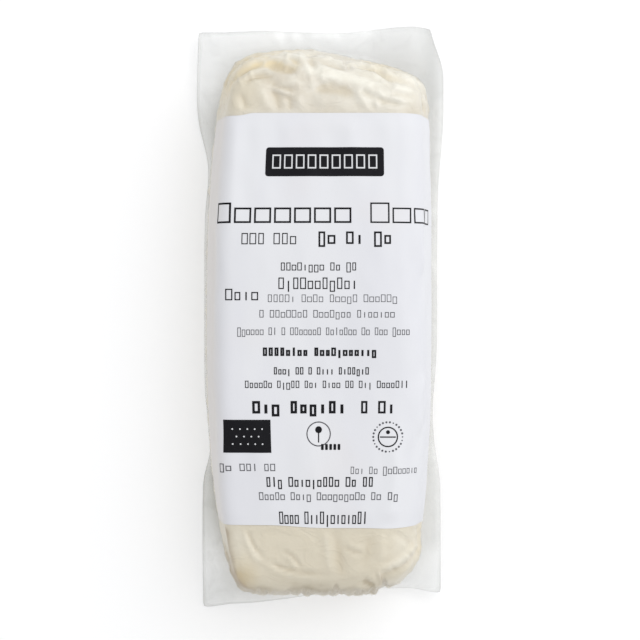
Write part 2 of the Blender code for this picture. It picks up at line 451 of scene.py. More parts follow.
def folds(*rows: tuple[float, ...]) -> tuple[Fold, ...]:
    """Set out folds one by one.

    Args:
        rows: Each one's start, bend, end, width and depth; a depth below 0 is drawn in.

    Returns:
        The folds.
    """
    found = []
    for row in rows:
        kind = FoldKind.VALLEY if row[7] < 0 else FoldKind.RIDGE
        found.append(Fold(row[:2], row[2:4], row[4:6], row[6], abs(row[7]), kind))
    return tuple(found)


@dataclass(frozen=True)
class Pleat:
    """One gather of the film down the foot wall."""

    place: float
    width: float
    depth: float
    lean: float = 0
    top: float = 45
    foot: float = 8

    def relief(self, spots: Array) -> Array:
        """How far the pleat draws the surface in, as heights along the normal."""
        x, _, up = spots.T
        across = np.abs(x - self.place - self.lean * (up - 38) / 20) * 1.2 / self.width
        down = smooth(self.top + 1.5, self.top - 4, up) * smooth(self.foot, self.foot + 8, up)
        down *= 0.3 + 0.7 * smooth(20, 30, up)
        return 1.05 * self.depth * down * (0.12 * bell(across, 2, 1) - np.exp(-across**1.4))


HEAD_FOLDS = folds(
    (-35, 94.5, -26, 104, -15.5, 97.3, 1.1, 0.75), (-31, 95, -23, 101, -15.8, 96.6, 0.9, -0.6),
    (-22, 104, -15, 100.6, -7.5, 100.8, 1.9, -1), (-20, 106.2, -15, 105.2, -10, 102.6, 1, 0.6),
    (-18, 108, -9.5, 107.8, -5.5, 101.8, 1.1, 0.85), (-14.5, 107.2, -9.5, 105.6, -8, 103, 0.9, -0.45),
    (-9.8, 110.5, -5.6, 105, -4.6, 98.5, 1.2, 0.6), (-6, 110, -2.5, 105.5, -2, 99.5, 1.1, -0.5),
    (-22.5, 96.5, -16, 93, -8.5, 91.6, 1.1, -0.5), (-21.5, 94.4, -16, 91.6, -9.5, 90.2, 1.1, 0.4),
    (-25, 97, -22.8, 90, -20.8, 80.5, 2.8, 0.35), (-20.5, 95.5, -17.2, 89, -15.4, 80.5, 1.8, -0.45),
    (-32.5, 91.5, -30.4, 88, -29, 83.5, 1.5, -0.28), (-36.5, 92, -34.5, 87, -33.5, 82, 1.6, 0.22),
    (-13.5, 92, -11.4, 87, -12.4, 81, 1.9, -0.4), (-10, 90, -7, 87, -7.6, 81, 2.4, 0.3),
    (9, 106.4, 11, 103.6, 13.2, 101, 0.8, -0.7), (-6, 99.6, 12, 100.2, 25.5, 92, 2.3, 0.5),
    (-5, 93, 7, 94.6, 15.5, 89.6, 2.9, -0.65), (9.5, 102.8, 19, 100.4, 29, 95.2, 1.1, 0.7),
    (14, 103.6, 24, 100.9, 31, 95.2, 1.2, -0.8), (12, 105, 24.5, 104.2, 32, 98.2, 1.1, 0.6),
    (-3, 107.5, 5, 106.6, 12, 104, 1, 0.55), (-2, 104.6, 6, 103.6, 13.5, 99.8, 1, -0.5),
    (13.5, 94, 17.2, 89, 20, 81, 1.5, 0.35), (15.5, 93.4, 20, 89.4, 26, 87.6, 1.1, -0.4),
    (22.6, 93.6, 24.6, 90.6, 25.4, 88, 1.2, 0.3), (22.5, 88.5, 28, 86.6, 34, 86.2, 1.4, -0.5),
    (21.5, 91, 23, 87, 23.4, 81.5, 1.1, 0.22), (30, 100.6, 35, 99.8, 39.5, 95.6, 1.4, 0.6),
    (28, 94, 33, 93.6, 39, 91.6, 1.3, 0.4), (27, 91.4, 33, 91, 40, 88.6, 1.2, -0.4),
    (41.6, 96, 42.8, 90, 42.6, 82, 0.9, -0.5), (-38.5, 95.5, -33, 103, -21.5, 106.4, 1.4, 0.55),
    (-36.5, 94.5, -31, 101, -23, 103.8, 1.1, -0.45),
)

FOOT_FOLDS = folds(
    (-29.6, -80.5, -28.2, -92.6, -20, -97, 0.8, -0.45), (-31.2, -81, -30.2, -94, -21.6, -98.6, 1.2, 0.3),
    (-22, -95.6, -14.5, -102.8, 7, -102.2, 0.9, -0.45), (-22, -98.4, -14, -105, 7, -104.2, 1.3, 0.35),
    (-16.5, -92, -10.4, -93.8, -7, -100.8, 0.9, -0.5), (-14.5, -93.6, -11, -96, -9.6, -100.8, 0.9, 0.25),
    (1, -81, 3.2, -93, 4.2, -104, 1.7, 0.4), (6, -83, 8, -95, 8.6, -104.5, 2, -0.4),
    (8.6, -90.2, 13, -93.8, 17.6, -93.8, 0.9, -0.5), (10, -88.4, 14.4, -91.6, 18.6, -91.8, 0.9, 0.25),
    (21.5, -100.4, 33.5, -99.4, 41, -89, 1.2, 0.8), (25, -103, 36.5, -100.6, 42.6, -91.4, 1.1, -0.6),
    (28.8, -99.4, 30, -100.4, 31.4, -101, 0.8, -0.5), (35, -94, 36.4, -95.2, 38, -95.6, 0.8, -0.5),
    (29.5, -83, 33, -89, 39, -90.6, 1.2, -0.35), (24, -82.5, 26, -91, 23.4, -99, 1.8, 0.4),
    (19, -84, 20, -92, 17, -101, 2, -0.3), (16.6, -104, 19.6, -106, 22.6, -108, 1.3, -0.8),
    (13, -106.4, 16, -108.4, 19, -109.6, 1.1, 0.45), (23.8, -100, 24.4, -104.5, 24.2, -110, 0.8, 0.8),
    (-36.8, -84, -36.6, -97, -31.5, -107, 1, 0.35),
)

FOOT_PLEATS = tuple(Pleat(*sizes) for sizes in (
    (-31, 1, 0.25, -2, 38), (-28.4, 0.9, 0.55, 1, 43), (-25.2, 1.1, 1.1, 1.5, 45.5),
    (-21.9, 0.8, 0.95, -1, 45), (-19, 0.9, 0.6, 1.5, 43.5), (-16.4, 1.1, 0.25, 2, 43),
    (-12.8, 0.9, 0.65, -1.5, 44), (-9.9, 0.8, 0.5, 1, 43.5), (-7.2, 0.9, 1, 1, 45.5),
    (-4.4, 1, 0.7, -2, 45.5), (-1.8, 0.9, 0.6, -1, 44), (0.6, 1.4, 0.3, 1, 44.5),
    (4, 0.9, 0.7, 1, 45), (7, 1.2, 1.4, -1.5, 47), (9.4, 0.8, 0.6, -1, 45),
    (11.4, 1.3, 0.3, 2, 42), (14.4, 0.9, 0.65, 1.5, 43.5), (17.4, 1, 0.9, -1, 44),
    (21, 1.4, 1.2, 1.5, 46), (23.8, 0.9, 0.6, -1, 44.5), (26.4, 1, 0.9, -1, 45),
    (32.4, 1.2, 0.35, 1.5, 40),
))

LABEL_FOLDS = folds(
    (44, 46, 38, 32, 46, 16, 3.2, 0.6), (50, 24, 40, 14, 38, -4, 3, -0.45),
    (48, -20, 36, -32, 44, -48, 3.2, 0.6), (54, -38, 42, -44, 36, -62, 2.8, -0.4),
    (-52, 38, -42, 26, -44, 6, 3.4, -0.4), (-54, -4, -44, -16, -50, -36, 3.4, 0.45),
    (-38, 88, -34, 62, -38, 30, 3.2, 0.35), (30, -44, 33, -66, 28, -90, 2.8, 0.5),
    (-22, 88, -15, 70, -20, 46, 4.5, -0.24), (10, 88, 16, 68, 10, 46, 4.5, 0.26),
    (-8, -38, 2, -58, -6, -88, 5, 0.24), (-34, -40, -28, -60, -33, -88, 4, -0.24),
)


@dataclass
class Wrinkles:
    """All the folds of the film: the large ones listed, the small ones by rule."""

    seed: int = 11
    label_left: float = 63.5
    label_right: float = 69
    label_half_length: float = 83.25
    head_gain: float = 1.4
    foot_gain: float = 1.05
    wall_count: int = 112
    wall_pitch: float = 5.9
    wall_folds: list[Fold] = field(default_factory=list)

    def __post_init__(self) -> None:
        """Lay out the creases low on the walls."""
        dice = random.Random(self.seed)
        for count in range(self.wall_count):
            walk = self.wall_pitch * count + dice.uniform(-2.2, 2.2)
            top = dice.uniform(20, 40)
            low = top - dice.uniform(7, 18)
            slant = dice.uniform(-9, 9)
            bow = slant * 0.5 + dice.uniform(-2.5, 2.5)
            kind = dice.choice(tuple(FoldKind))
            width = dice.uniform(0.8, 1.7)
            depth = dice.uniform(0.2, 0.6)
            middle = (walk + bow, (top + low) / 2)
            self.wall_folds.append(Fold((walk, top), middle, (walk + slant, low), width, depth, kind))

    def bare(self, flat: Array) -> Array:
        """How far each place is clear of the label, from 0 under it to 1."""
        across = np.maximum(flat[:, 0] - self.label_right, -flat[:, 0] - self.label_left)
        along = np.abs(flat[:, 1]) - self.label_half_length
        return smooth(0, 2.5, np.maximum(across, along))

    def relief(self, spots: Array, flat: Array, walk: Array) -> Array:
        """Height of all the folds.

        Args:
            spots: Places on the smooth surface.
            flat: Their flat coordinates on the unrolled film.
            walk: How far round the block each stands.

        Returns:
            Heights along the surface's normal, in millimetres.
        """
        plan = spots[:, :2]
        _, y, up = spots.T
        head = sum(fold.relief(plan) for fold in HEAD_FOLDS)
        foot = sum(fold.relief(plan) for fold in FOOT_FOLDS)
        total = (self.head_gain * head + self.foot_gain * foot) * smooth(22, 36, up)
        round_wall = np.column_stack((walk, up))
        wall = sum(fold.relief(round_wall) for fold in self.wall_folds)
        drift = np.column_stack((noise_field(spots, 13, 1), noise_field(spots, 13, 2))) * 3
        streaks = 1 - np.abs(noise_field((round_wall + drift) / (1, 2.4), 4.6, 3)) * 2.6
        wall += 0.34 * np.maximum(streaks, 0) ** 2
        from_seam = np.minimum(walk, walk.max() - walk)
        total += wall * smooth(44, 34, up) * smooth(0, 6, from_seam)
        total += sum(pleat.relief(spots) for pleat in FOOT_PLEATS) * smooth(-96, -101, y)
        total += 0.3 * noise_field(spots, 12, 4, octaves=2) + 0.1 * noise_field(spots, 3.6, 5)
        crumple = 1 - 2.4 * np.abs(noise_field(spots + (0, 0, 3), 8.5, 9, octaves=2))
        total += 0.65 * np.maximum(crumple, 0) ** 2 * zone(up, y, (20, 30), (90, 97))
        return total * self.bare(flat)


# ---------- lofts and pieces


def lay_sheet(mesh: Mesh, x: Spot, y: Spot, cells: tuple[int, int],
              corner: float = 0, segments: int = 3, level: float = 0) -> None:
    """Lay a flat grid with rounded corners.

    Args:
        mesh: The empty mesh to lay it in.
        x, y: Its left and right edges, and its lower and upper ones.
        cells: How many cells it has across and along.
        corner: Radius of its corners.
        segments: How many pieces each corner is cut into.
        level: Height it lies at.
    """
    half = Matrix.Diagonal(((x[1] - x[0]) / 2, (y[1] - y[0]) / 2, 1, 1))
    matrix = Matrix.Translation(((x[0] + x[1]) / 2, (y[0] + y[1]) / 2, level)) @ half
    bmesh.ops.create_grid(mesh, x_segments=cells[0], y_segments=cells[1], size=1, matrix=matrix)
    if corner:
        ends = [v for v in mesh.verts if len(v.link_edges) == 2]
        bmesh.ops.bevel(
            mesh, geom=ends, offset=corner, segments=segments, profile=0.5, affect="VERTICES", material=-1
        )


def settle(mesh: Mesh) -> None:
    """Put a mesh's faces in the order of their vertices, so that each run makes the same mesh."""
    mesh.verts.index_update()
    ranked = sorted(mesh.faces, key=lambda face: sorted(vertex.index for vertex in face.verts))
    for index, face in enumerate(ranked):
        face.index = index
    mesh.faces.sort()


def thicken(mesh: Mesh, height: float) -> None:
    """Turn a flat mesh into a slab of a given height that stands on it."""
    settle(mesh)
    grown = bmesh.ops.extrude_face_region(mesh, geom=list(mesh.faces))["geom"]
    top = [item for item in grown if isinstance(item, bmesh.types.BMVert)]
    bmesh.ops.translate(mesh, verts=top, vec=(0, 0, height))
    bmesh.ops.recalc_face_normals(mesh, faces=mesh.faces)


@dataclass(frozen=True)
class CoreCut:
    """How finely the front face's core is cut along, across and round each corner."""

    side: int = 160
    end: int = 60
    corner: int = 52


class RingLoft:
    """A mesh grown ring by ring out of the front face's core."""

    def __init__(self, form: BlockForm, cut: CoreCut, tones: tuple[str, ...]) -> None:
        """Lay the core as a grid with rounded corners.

        Args:
            form: The block's shape.
            cut: How finely the core is cut.
            tones: Names of the numbers that the finish will read from the vertices.
        """
        self.form = form
        self.mesh = bmesh.new()
        for name in tones:
            self.mesh.verts.layers.float.new(name)
        across = (-form.core_half_width, form.core_half_width)
        along = (-form.core_half_length, form.core_half_length)
        lay_sheet(self.mesh, across, along, (cut.end, cut.side), form.core_corner, cut.corner)
        self.vertices = list(self.mesh.verts)
        self.loop = self.boundary()
        flat = np.array([v.co.xy for v in self.vertices])
        edge = np.array([v.co.xy for v in self.loop])
        limit = np.array((form.inner_half_width, form.inner_half_length))
        base = np.clip(edge, -limit, limit)
        way = (edge - base) / np.hypot(*(edge - base).T)[:, None]
        self.stations = self.walk_round(base, way)
        x, y = form.plan(flat[:, 0], flat[:, 1])
        core = np.column_stack((x, y, form.height + form.softness(x, y)))
        self.move(core)
        self.flats = [flat]
        self.walks = [np.zeros(len(flat))]
        self.rings = [np.zeros(len(flat), int)]

    def walk_round(self, base: Array, way: Array) -> Stations:
        """Measure how far round the block each station is, along its belly."""
        form = self.form
        x, y = form.plan(*form.outwards(base, way, lambda wall: wall.belly))
        steps = np.hypot(np.diff(x), np.diff(y))
        return Stations(base, way, np.concatenate(([0], np.cumsum(steps))))

    def boundary(self) -> list[bmesh.types.BMVert]:
        """Vertices of the mesh's one open edge, in order."""
        edge = next(e for e in self.mesh.edges if e.is_boundary)
        loop = [edge.verts[0], edge.verts[1]]
        while True:
            onward = next(e for e in loop[-1].link_edges if e.is_boundary and loop[-2] not in e.verts)
            vertex = onward.other_vert(loop[-1])
            if vertex is loop[0]:
                return loop
            loop.append(vertex)

    def add_ring(self, spots: Array, flat: Array) -> None:
        """Extrude the open edge and put the new ring in its place.

        Args:
            spots: Its places, one for each station.
            flat: Their flat coordinates on the unrolled film.
        """
        pairs = zip(self.loop, self.loop[1:] + self.loop[:1])
        edges = [self.mesh.edges.get(pair) for pair in pairs]
        grown = bmesh.ops.extrude_edge_only(self.mesh, edges=edges)["geom"]
        fresh = {item for item in grown if isinstance(item, bmesh.types.BMVert)}
        ring = []
        for vertex in self.loop:
            beside = (edge.other_vert(vertex) for edge in vertex.link_edges)
            ring.append(next(other for other in beside if other in fresh))
        for vertex, spot in zip(ring, spots):
            vertex.co = spot
        self.loop = ring
        self.vertices += ring
        self.flats.append(flat)
        self.walks.append(self.stations.walk)
        self.rings.append(np.full(len(ring), self.rings[-1][-1] + 1))

    def add_body(self) -> Array:
        """Grow the block's surface down to the root of the rim, and return the last ring's places."""
        for index in range(1, self.form.cut.rings + 1):
            spots, flat = self.form.ring(self.stations, index)
            self.add_ring(spots, flat)
        return spots

    def add_base(self, start: Array, level: float, count: int) -> None:
        """Tuck the open edge in under the block, down to its foot.

        Args:
            start: Places of the ring that is there.
            level: Height of the last ring.
            count: How many rings to add.
        """
        form, stations = self.form, self.stations
        plan = form.plan(*form.outwards(stations.base, stations.way, lambda wall: wall.foot))
        foot = np.column_stack((*plan, np.full(stations.count, level)))
        knee = np.column_stack((start[:, :2] * 0.75 + foot[:, :2] * 0.25, foot[:, 2] + 0.4))
        for share in (step / count for step in range(1, count + 1)):
            spots = (1 - share) ** 2 * start + 2 * share * (1 - share) * knee + share**2 * foot
            self.add_ring(spots, self.flats[-1])

    def close(self) -> None:
        """Close the open edge with one flat face, and turn all faces outwards."""
        bmesh.ops.contextual_create(self.mesh, geom=self.loop)
        bmesh.ops.recalc_face_normals(self.mesh, faces=self.mesh.faces)
        self.mesh.normal_update()
        if self.vertices[0].normal.z < 0:
            bmesh.ops.reverse_faces(self.mesh, faces=self.mesh.faces)

    @property
    def spots(self) -> Array:
        """Places of all vertices, in the order they were added."""
        return np.array([v.co for v in self.vertices])

    @property
    def normals(self) -> Array:
        """Outward normals of all vertices, in the order they were added."""
        self.mesh.normal_update()
        return np.array([v.normal for v in self.vertices])

    def move(self, spots: Array) -> None:
        """Put all vertices in new places."""
        for vertex, spot in zip(self.vertices, spots):
            vertex.co = spot

    def tone(self, name: str, values: Array) -> None:
        """Store one number a vertex, in the order the vertices were added, for the finish."""
        layer = self.mesh.verts.layers.float[name]
        for vertex, value in zip(self.vertices, values):
            vertex[layer] = float(value)


def add_thing(name: str, data: bpy.types.ID) -> bpy.types.Object:
    """Make an object of some data and put it in the scene."""
    thing = bpy.data.objects.new(name, data)
    bpy.context.scene.collection.objects.link(thing)
    return thing


@dataclass(frozen=True)
class Placer:
    """Turns meshes in the bag's own millimetres into pieces on the frame."""

    shift: Vector

    def piece(self, mesh: Mesh, name: str, material: bpy.types.Material,
              sharp: float) -> bpy.types.Object:
        """Make a piece out of a mesh.

        Args:
            mesh: The mesh, in millimetres; it is freed.
            name: The piece's name.
            material: Its finish.
            sharp: Edges bent by more than this many degrees stay sharp.

        Returns:
            The new object, at the origin, with its place in its mesh.
        """
        settle(mesh)
        bmesh.ops.translate(mesh, verts=mesh.verts, vec=self.shift)
        bmesh.ops.scale(mesh, verts=mesh.verts, vec=(MM, MM, MM))
        data = bpy.data.meshes.new(name)
        mesh.to_mesh(data)
        mesh.free()
        data.shade_smooth()
        data.set_sharp_from_angle(angle=math.radians(sharp))
        data.materials.append(material)
        return add_thing(name, data)


# ---------- shader helpers


class Wire:
    """A shader value that adds Math nodes when it is used in an expression."""

    def __init__(self, graph: "Graph", source: bpy.types.NodeSocket) -> None:
        """Wrap a socket of a graph."""
        self.graph = graph
        self.source = source

    def math(self, operation: str, *values: "Wire | float", clamp: bool = False) -> "Wire":
        """Add one Math node and return its result."""
        settings = {"operation": operation, "use_clamp": clamp}
        return self.graph.add("ShaderNodeMath", settings, dict(enumerate(values)))

    def __add__(self, other: "Wire | float") -> "Wire":
        """Sum."""
        return self.math("ADD", self, other)

    __radd__ = __add__

    def __sub__(self, other: "Wire | float") -> "Wire":
        """Difference."""
        return self.math("SUBTRACT", self, other)

    def __rsub__(self, other: float) -> "Wire":
        """Difference from a number."""
        return self.math("SUBTRACT", other, self)

    def __mul__(self, other: "Wire | float") -> "Wire":
        """Product."""
        return self.math("MULTIPLY", self, other)

    __rmul__ = __mul__

    def clamped(self) -> "Wire":
        """The value kept between 0 and 1."""
        return self.math("ADD", self, 0, clamp=True)

    def magnitude(self) -> "Wire":
        """The value without its sign."""
        return self.math("ABSOLUTE", self)

    def between(self, low: float, high: float) -> "Wire":
        """Stretch of the value from low to high, as 0 to 1 with soft ends."""
        settings = {"interpolation_type": "SMOOTHSTEP"}
        sockets = {"Value": self, "From Min": low, "From Max": high}
        return self.graph.add("ShaderNodeMapRange", settings, sockets)


class Graph:
    """Node tree of one material."""

    def __init__(self, name: str) -> None:
        """Start an empty material with Object coordinates.

        Args:
            name: The material's name.
        """
        self.material = bpy.data.materials.new(name)
        self.material.use_nodes = True
        self.tree = self.material.node_tree
        self.tree.nodes.clear()
        self.output = self.tree.nodes.new("ShaderNodeOutputMaterial")
        self.place = self.add("ShaderNodeTexCoord", {}, {}, "Object")

    def add(self, kind: str, settings: dict, sockets: dict, result: "str | int" = 0) -> Wire:
        """Add any node.

        Args:
            kind: The node's type.
            settings: Its properties, set first.
            sockets: Values or wires for its inputs, by name or index.
            result: Which output to return.

        Returns:
            The chosen output.
        """
        node = self.tree.nodes.new(kind)
        for key, value in settings.items():
            setattr(node, key, value)
        for key, value in sockets.items():
            if isinstance(value, Wire):
                self.tree.links.new(value.source, node.inputs[key])
            elif node.inputs[key].type == "RGBA":
                node.inputs[key].default_value = (*value, 1)
            else:
                node.inputs[key].default_value = value
        return Wire(self, node.outputs[result])

    def noise(self, size_mm: float, detail: float = 2, rough: float = 0.5,
              stretch: Colour = (1, 1, 1), bend: float = 0) -> Wire:
        """Noise pattern with features of a real size.

        Args:
            size_mm: Size of the features.
            detail: Finer layers.
            rough: Strength of the finer layers.
            stretch: How far the features are drawn out along each axis.
            bend: How much the pattern is distorted.

        Returns:
            The pattern, roughly from 0 to 1.
        """
        scale = tuple(1 / s for s in stretch)
        vector = self.add("ShaderNodeMapping", {}, {"Vector": self.place, "Scale": scale})
        sockets = {
            "Vector": vector, "Scale": 1 / (size_mm * MM), "Detail": detail, "Roughness": rough,
            "Distortion": bend,
        }
        return self.add("ShaderNodeTexNoise", {}, sockets, "Fac")

    def attribute(self, name: str) -> Wire:
        """Number stored on the piece's vertices."""
        return self.add("ShaderNodeAttribute", {"attribute_name": name}, {}, "Fac")

    def blend(self, factor: "Wire | float", first: "Wire | Colour", second: "Wire | Colour") -> Wire:
        """Mix two colours by the share of the second."""
        return self.add("ShaderNodeMix", {"data_type": "RGBA"}, {0: factor, 6: first, 7: second}, 2)

    def bumps(self, *layers: tuple[Wire, float, float]) -> Wire:
        """Turn height patterns into one normal.

        Args:
            layers: Each one's pattern, its real height in millimetres, and the share that shows.

        Returns:
            The normal.
        """
        under: dict = {}
        for height, size_mm, strength in layers:
            sockets = {"Height": height, "Distance": size_mm * MM, "Strength": strength, **under}
            under = {"Normal": self.add("ShaderNodeBump", {}, sockets)}
        return under["Normal"]

    def mix(self, share: "Wire | float", first: Wire, second: Wire) -> Wire:
        """Mix two shaders by the share of the second."""
        return self.add("ShaderNodeMixShader", {}, {0: share, 1: first, 2: second})

    def principled(self, **sockets: "Wire | float | Colour") -> Wire:
        """Add a Principled BSDF; underscores in names stand for spaces."""
        named = {name.replace("_", " "): value for name, value in sockets.items()}
        return self.add("ShaderNodeBsdfPrincipled", {}, named)

    def finish(self, shader: Wire) -> bpy.types.Material:
        """Send a shader to the output and give back the material."""
        self.tree.links.new(shader.source, self.output.inputs["Surface"])
        return self.material


# ---------- finishes


@dataclass(frozen=True)
class TofuFinish:
    """Damp cream bean curd pressed against its film, with painted shade and painted highlights in its colour.
    """

    cream: Colour = (0.68, 0.628, 0.535)
    pale: Colour = (0.725, 0.69, 0.615)
    straw_and_shade: Colour = (0.715, 0.655, 0.53)
    yellow: Colour = (0.78, 0.665, 0.44)
    brown: Colour = (0.35, 0.25, 0.13)
    foot_edge_shade: Colour = (0.43, 0.37, 0.265)
    painted_highlight: Colour = (0.87, 0.845, 0.765)
    shade: Colour = (0.6, 0.52, 0.385)

    def build(self) -> bpy.types.Material:
        """Make the material."""
        g = Graph("tofu")
        clouds = g.noise(22, 3, 0.55, bend=0.6)
        patches = g.noise(8, 3, 0.6, bend=1)
        grain = g.noise(1.1, 2, 0.6)
        colour = g.blend(clouds.between(0.35, 0.7), self.cream, self.pale)
        # straw tone over the foot and the head's left side, partly painted shade
        colour = g.blend(g.attribute("straw_and_shade"), colour, self.straw_and_shade)
        # Blended in turn: yellow, deeper in fold valleys as painted shade; brown, partly painted shade;
        # painted shade along the foot edge and in fold valleys; painted highlights.
        for name, tone, low, least in (
            ("warm", self.yellow, 0.25, 0.4), ("stain_and_shade", self.brown, 0.2, 0.5), ("foot_edge_shade", self.foot_edge_shade, 0.2, 0.7),
            ("valley_shade", self.shade, 0.2, None), ("painted_highlight", self.painted_highlight, 0.2, 0.6),
        ):
            mottle = 0.6 if least is None else patches.between(low, low + 0.4) * (1 - least) + least
            colour = g.blend((g.attribute(name) * mottle).clamped(), colour, tone)
        colour = g.blend(grain.between(0.3, 0.8) * 0.08, colour, self.shade)
        # fine crease lines, bumped and given a little painted shade
        crease_field = (g.noise(13, 2, 0.5, (1, 0.7, 1), 1.2) * 2 - 1).magnitude()
        lines = (1 - crease_field * 4).clamped()
        colour = g.blend(lines * 0.06, colour, self.shade)
        lumps = g.noise(6, 2, 0.5, bend=0.8)
        curd = g.bumps((g.noise(2.2, 3, 0.6), 0.08, 0.6), (lines, 0.24, 0.5), (lumps, 0.3, 0.6))
        shader = g.principled(
            Base_Color=colour,
            Roughness=0.48 - patches * 0.14,
            Normal=curd,
            Coat_Weight=0.3,
            Coat_Roughness=0.3,
            Specular_IOR_Level=0.35,
        )
        return g.finish(shader)


@dataclass(frozen=True)
class FilmFinish:
    """Clear plastic film, faintly hazy, with a darker cut edge and the block's warm shadow painted on its
    rim.
    """

    tint: Colour = (0.99, 0.992, 0.99)
    haze: Colour = (0.56, 0.57, 0.56)
    edge: Colour = (0.46, 0.47, 0.46)
    gloss: Colour = (1, 1, 1)
    cast: Colour = (0.3, 0.29, 0.215)

    def build(self) -> bpy.types.Material:
        """Make the material."""
        g = Graph("clear_film")
        edge, rim, haze_and_shade, warm_shadow = (g.attribute(name) for name in ("edge", "rim", "haze_and_shade", "warm_shadow"))
        fine = g.noise(3, 2, 0.5, (1, 1.8, 1), 1.2)
        crinkle = g.bumps((fine, 0.16, 0.5), (g.noise(9, 2, 0.5, bend=0.8), 0.3, 0.5))
        sheen = g.add("ShaderNodeLayerWeight", {}, {"Blend": 0.32, "Normal": crinkle}, "Fresnel")
        smears = g.noise(13, 3, 0.6, bend=1.2).between(0.45, 0.75)
        through = g.add("ShaderNodeBsdfTransparent", {}, {"Color": self.tint})
        gloss = {"Color": self.gloss, "Roughness": 0.2, "Normal": crinkle}
        mirror = g.add("ShaderNodeBsdfGlossy", {}, gloss)
        # the block's warm shadow on the rim is painted as a dark warm milk
        body = g.blend(warm_shadow, g.blend(edge, self.haze, self.edge), self.cast)
        milk = g.principled(Base_Color=body, Roughness=0.35, Normal=crinkle)
        clear = g.mix((sheen * (rim * 0.6 + 0.2)).clamped(), through, mirror)
        # loose film, and painted shade next to the block, grey the rim
        loose = rim * (smears * 0.03 + haze_and_shade * 0.13)
        share = (smears * 0.01 + loose + edge * 0.22 + warm_shadow * 0.3 + 0.008).clamped()
        return g.finish(g.mix(share, clear, milk))


@dataclass(frozen=True)
class PaperFinish:
    """Matte white label paper, with painted shade on its left flank."""

    white: Colour = (0.722, 0.73, 0.76)
    cool: Colour = (0.698, 0.704, 0.744)
    warm: Colour = (0.712, 0.698, 0.712)
    flank_shade: Colour = (0.7, 0.676, 0.66)

    def build(self) -> bpy.types.Material:
        """Make the material."""
        g = Graph("label_paper")
        bands = g.noise(20, 2, 0.5, (1, 4, 1))
        fibre = g.noise(0.5, 3, 0.6, (1, 2.5, 1))
        colour = g.blend(bands.between(0.35, 0.7), self.white, self.cool)
        colour = g.blend(g.noise(34, 1).between(0.55, 0.8) * 0.5, colour, self.warm)
        colour = g.blend(fibre.between(0.35, 0.75) * 0.05, colour, self.cool)
        # the left flank, turned from the light, is painted darker and warmer as shade
        colour = g.blend(g.attribute("flank_shade"), colour, self.flank_shade)
        cockle = g.noise(11, 2, 0.5, (1, 2.4, 1), 0.6)
        grain = g.bumps((fibre, 0.02, 0.5), (cockle, 0.25, 0.5))
        shader = g.principled(
            Base_Color=colour, Roughness=0.5 + fibre * 0.12, Normal=grain, Specular_IOR_Level=0.4
        )
        return g.finish(shader)


@dataclass(frozen=True)
class InkFinish:
    """Printed ink with small voids."""

    name: str
    ink: Colour
    void: Colour
    worn: float

    def build(self) -> bpy.types.Material:
        """Make the material."""
        g = Graph(self.name)
        speck = g.noise(0.35, 2, 0.6)
        fade = g.noise(7, 2, 0.5)
        colour = g.blend(speck.between(0.6, 0.72) * self.worn, self.ink, self.void)
        colour = g.blend(fade.between(0.5, 0.8) * (0.25 * self.worn), colour, self.void)
        shader = g.principled(Base_Color=colour, Roughness=0.48 + speck * 0.15, Specular_IOR_Level=0.12)
        return g.finish(shader)


class Ink(Enum):
    """The inks of the label's print, and the bare paper that shows inside a dark field."""

    BLACK = InkFinish("black_ink", (0.006, 0.006, 0.008), (0.04, 0.04, 0.05), 0.4)
    GREY = InkFinish("grey_ink", (0.085, 0.085, 0.095), (0.3, 0.3, 0.33), 0.8)
    LIGHT = InkFinish("bare_paper", (0.68, 0.69, 0.71), (0.55, 0.56, 0.58), 0.4)


# ---------- the block and its film


